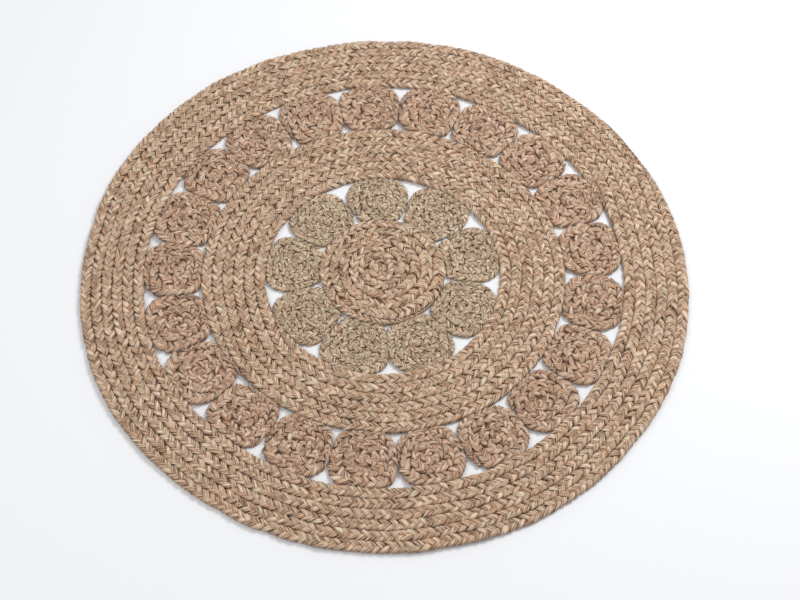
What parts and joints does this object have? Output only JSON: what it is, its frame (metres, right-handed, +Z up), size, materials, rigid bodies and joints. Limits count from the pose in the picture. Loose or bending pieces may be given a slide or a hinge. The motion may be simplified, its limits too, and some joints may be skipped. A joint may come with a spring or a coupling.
{
  "type": "round braided rug",
  "caption": "Round area rug of flat braided jute: a centre coil, two rings of small openwork coils, a middle band and a wide outer band, sewn together.",
  "frame": {"origin": "centre of the rug at floor level, on the plane of its underside", "axes": "+Z up, out of the walked-on face; +X and +Y lie in the floor plane. The rug is round, so +X is only the direction from which the coils' angles are counted"},
  "size_m": [1.1999, 1.1999, 0.011],
  "materials": {
    "jute_braid": "matte, fibrous plaited jute",
    "fine_jute_braid": "matte, finer and slightly greener plaited jute",
    "sewing_thread": "matte twisted natural thread"
  },
  "bodies": {
    "root": {"centre_coil": "jute_braid", "middle_band": "jute_braid", "outer_band": "jute_braid", "outer_coil_01": "jute_braid", "outer_coil_02": "jute_braid", "outer_coil_03": "jute_braid", "outer_coil_04": "jute_braid", "outer_coil_05": "jute_braid", "outer_coil_06": "jute_braid", "outer_coil_07": "jute_braid", "outer_coil_08": "jute_braid", "outer_coil_09": "jute_braid", "outer_coil_10": "jute_braid", "outer_coil_11": "jute_braid", "outer_coil_12": "jute_braid", "outer_coil_13": "jute_braid", "outer_coil_14": "jute_braid", "outer_coil_15": "jute_braid", "outer_coil_16": "jute_braid", "outer_coil_17": "jute_braid", "outer_coil_18": "jute_braid", "outer_coil_19": "jute_braid", "outer_coil_20": "jute_braid", "outer_coil_21": "jute_braid", "inner_coil_01": "fine_jute_braid", "inner_coil_02": "fine_jute_braid", "inner_coil_03": "fine_jute_braid", "inner_coil_04": "fine_jute_braid", "inner_coil_05": "fine_jute_braid", "inner_coil_06": "fine_jute_braid", "inner_coil_07": "fine_jute_braid", "inner_coil_08": "fine_jute_braid", "inner_coil_09": "fine_jute_braid", "centre_coil_seam_thread": "sewing_thread", "inner_coil_seam_threads": "sewing_thread", "middle_band_seam_thread": "sewing_thread", "outer_coil_seam_threads": "sewing_thread", "outer_band_seam_thread": "sewing_thread", "centre_to_inner_coil_ties": "sewing_thread", "inner_coil_to_coil_ties": "sewing_thread", "inner_coil_to_middle_band_ties": "sewing_thread", "middle_band_to_outer_coil_ties": "sewing_thread", "outer_coil_to_coil_ties": "sewing_thread", "outer_coil_to_outer_band_ties": "sewing_thread"}
  },
  "joints": []
}
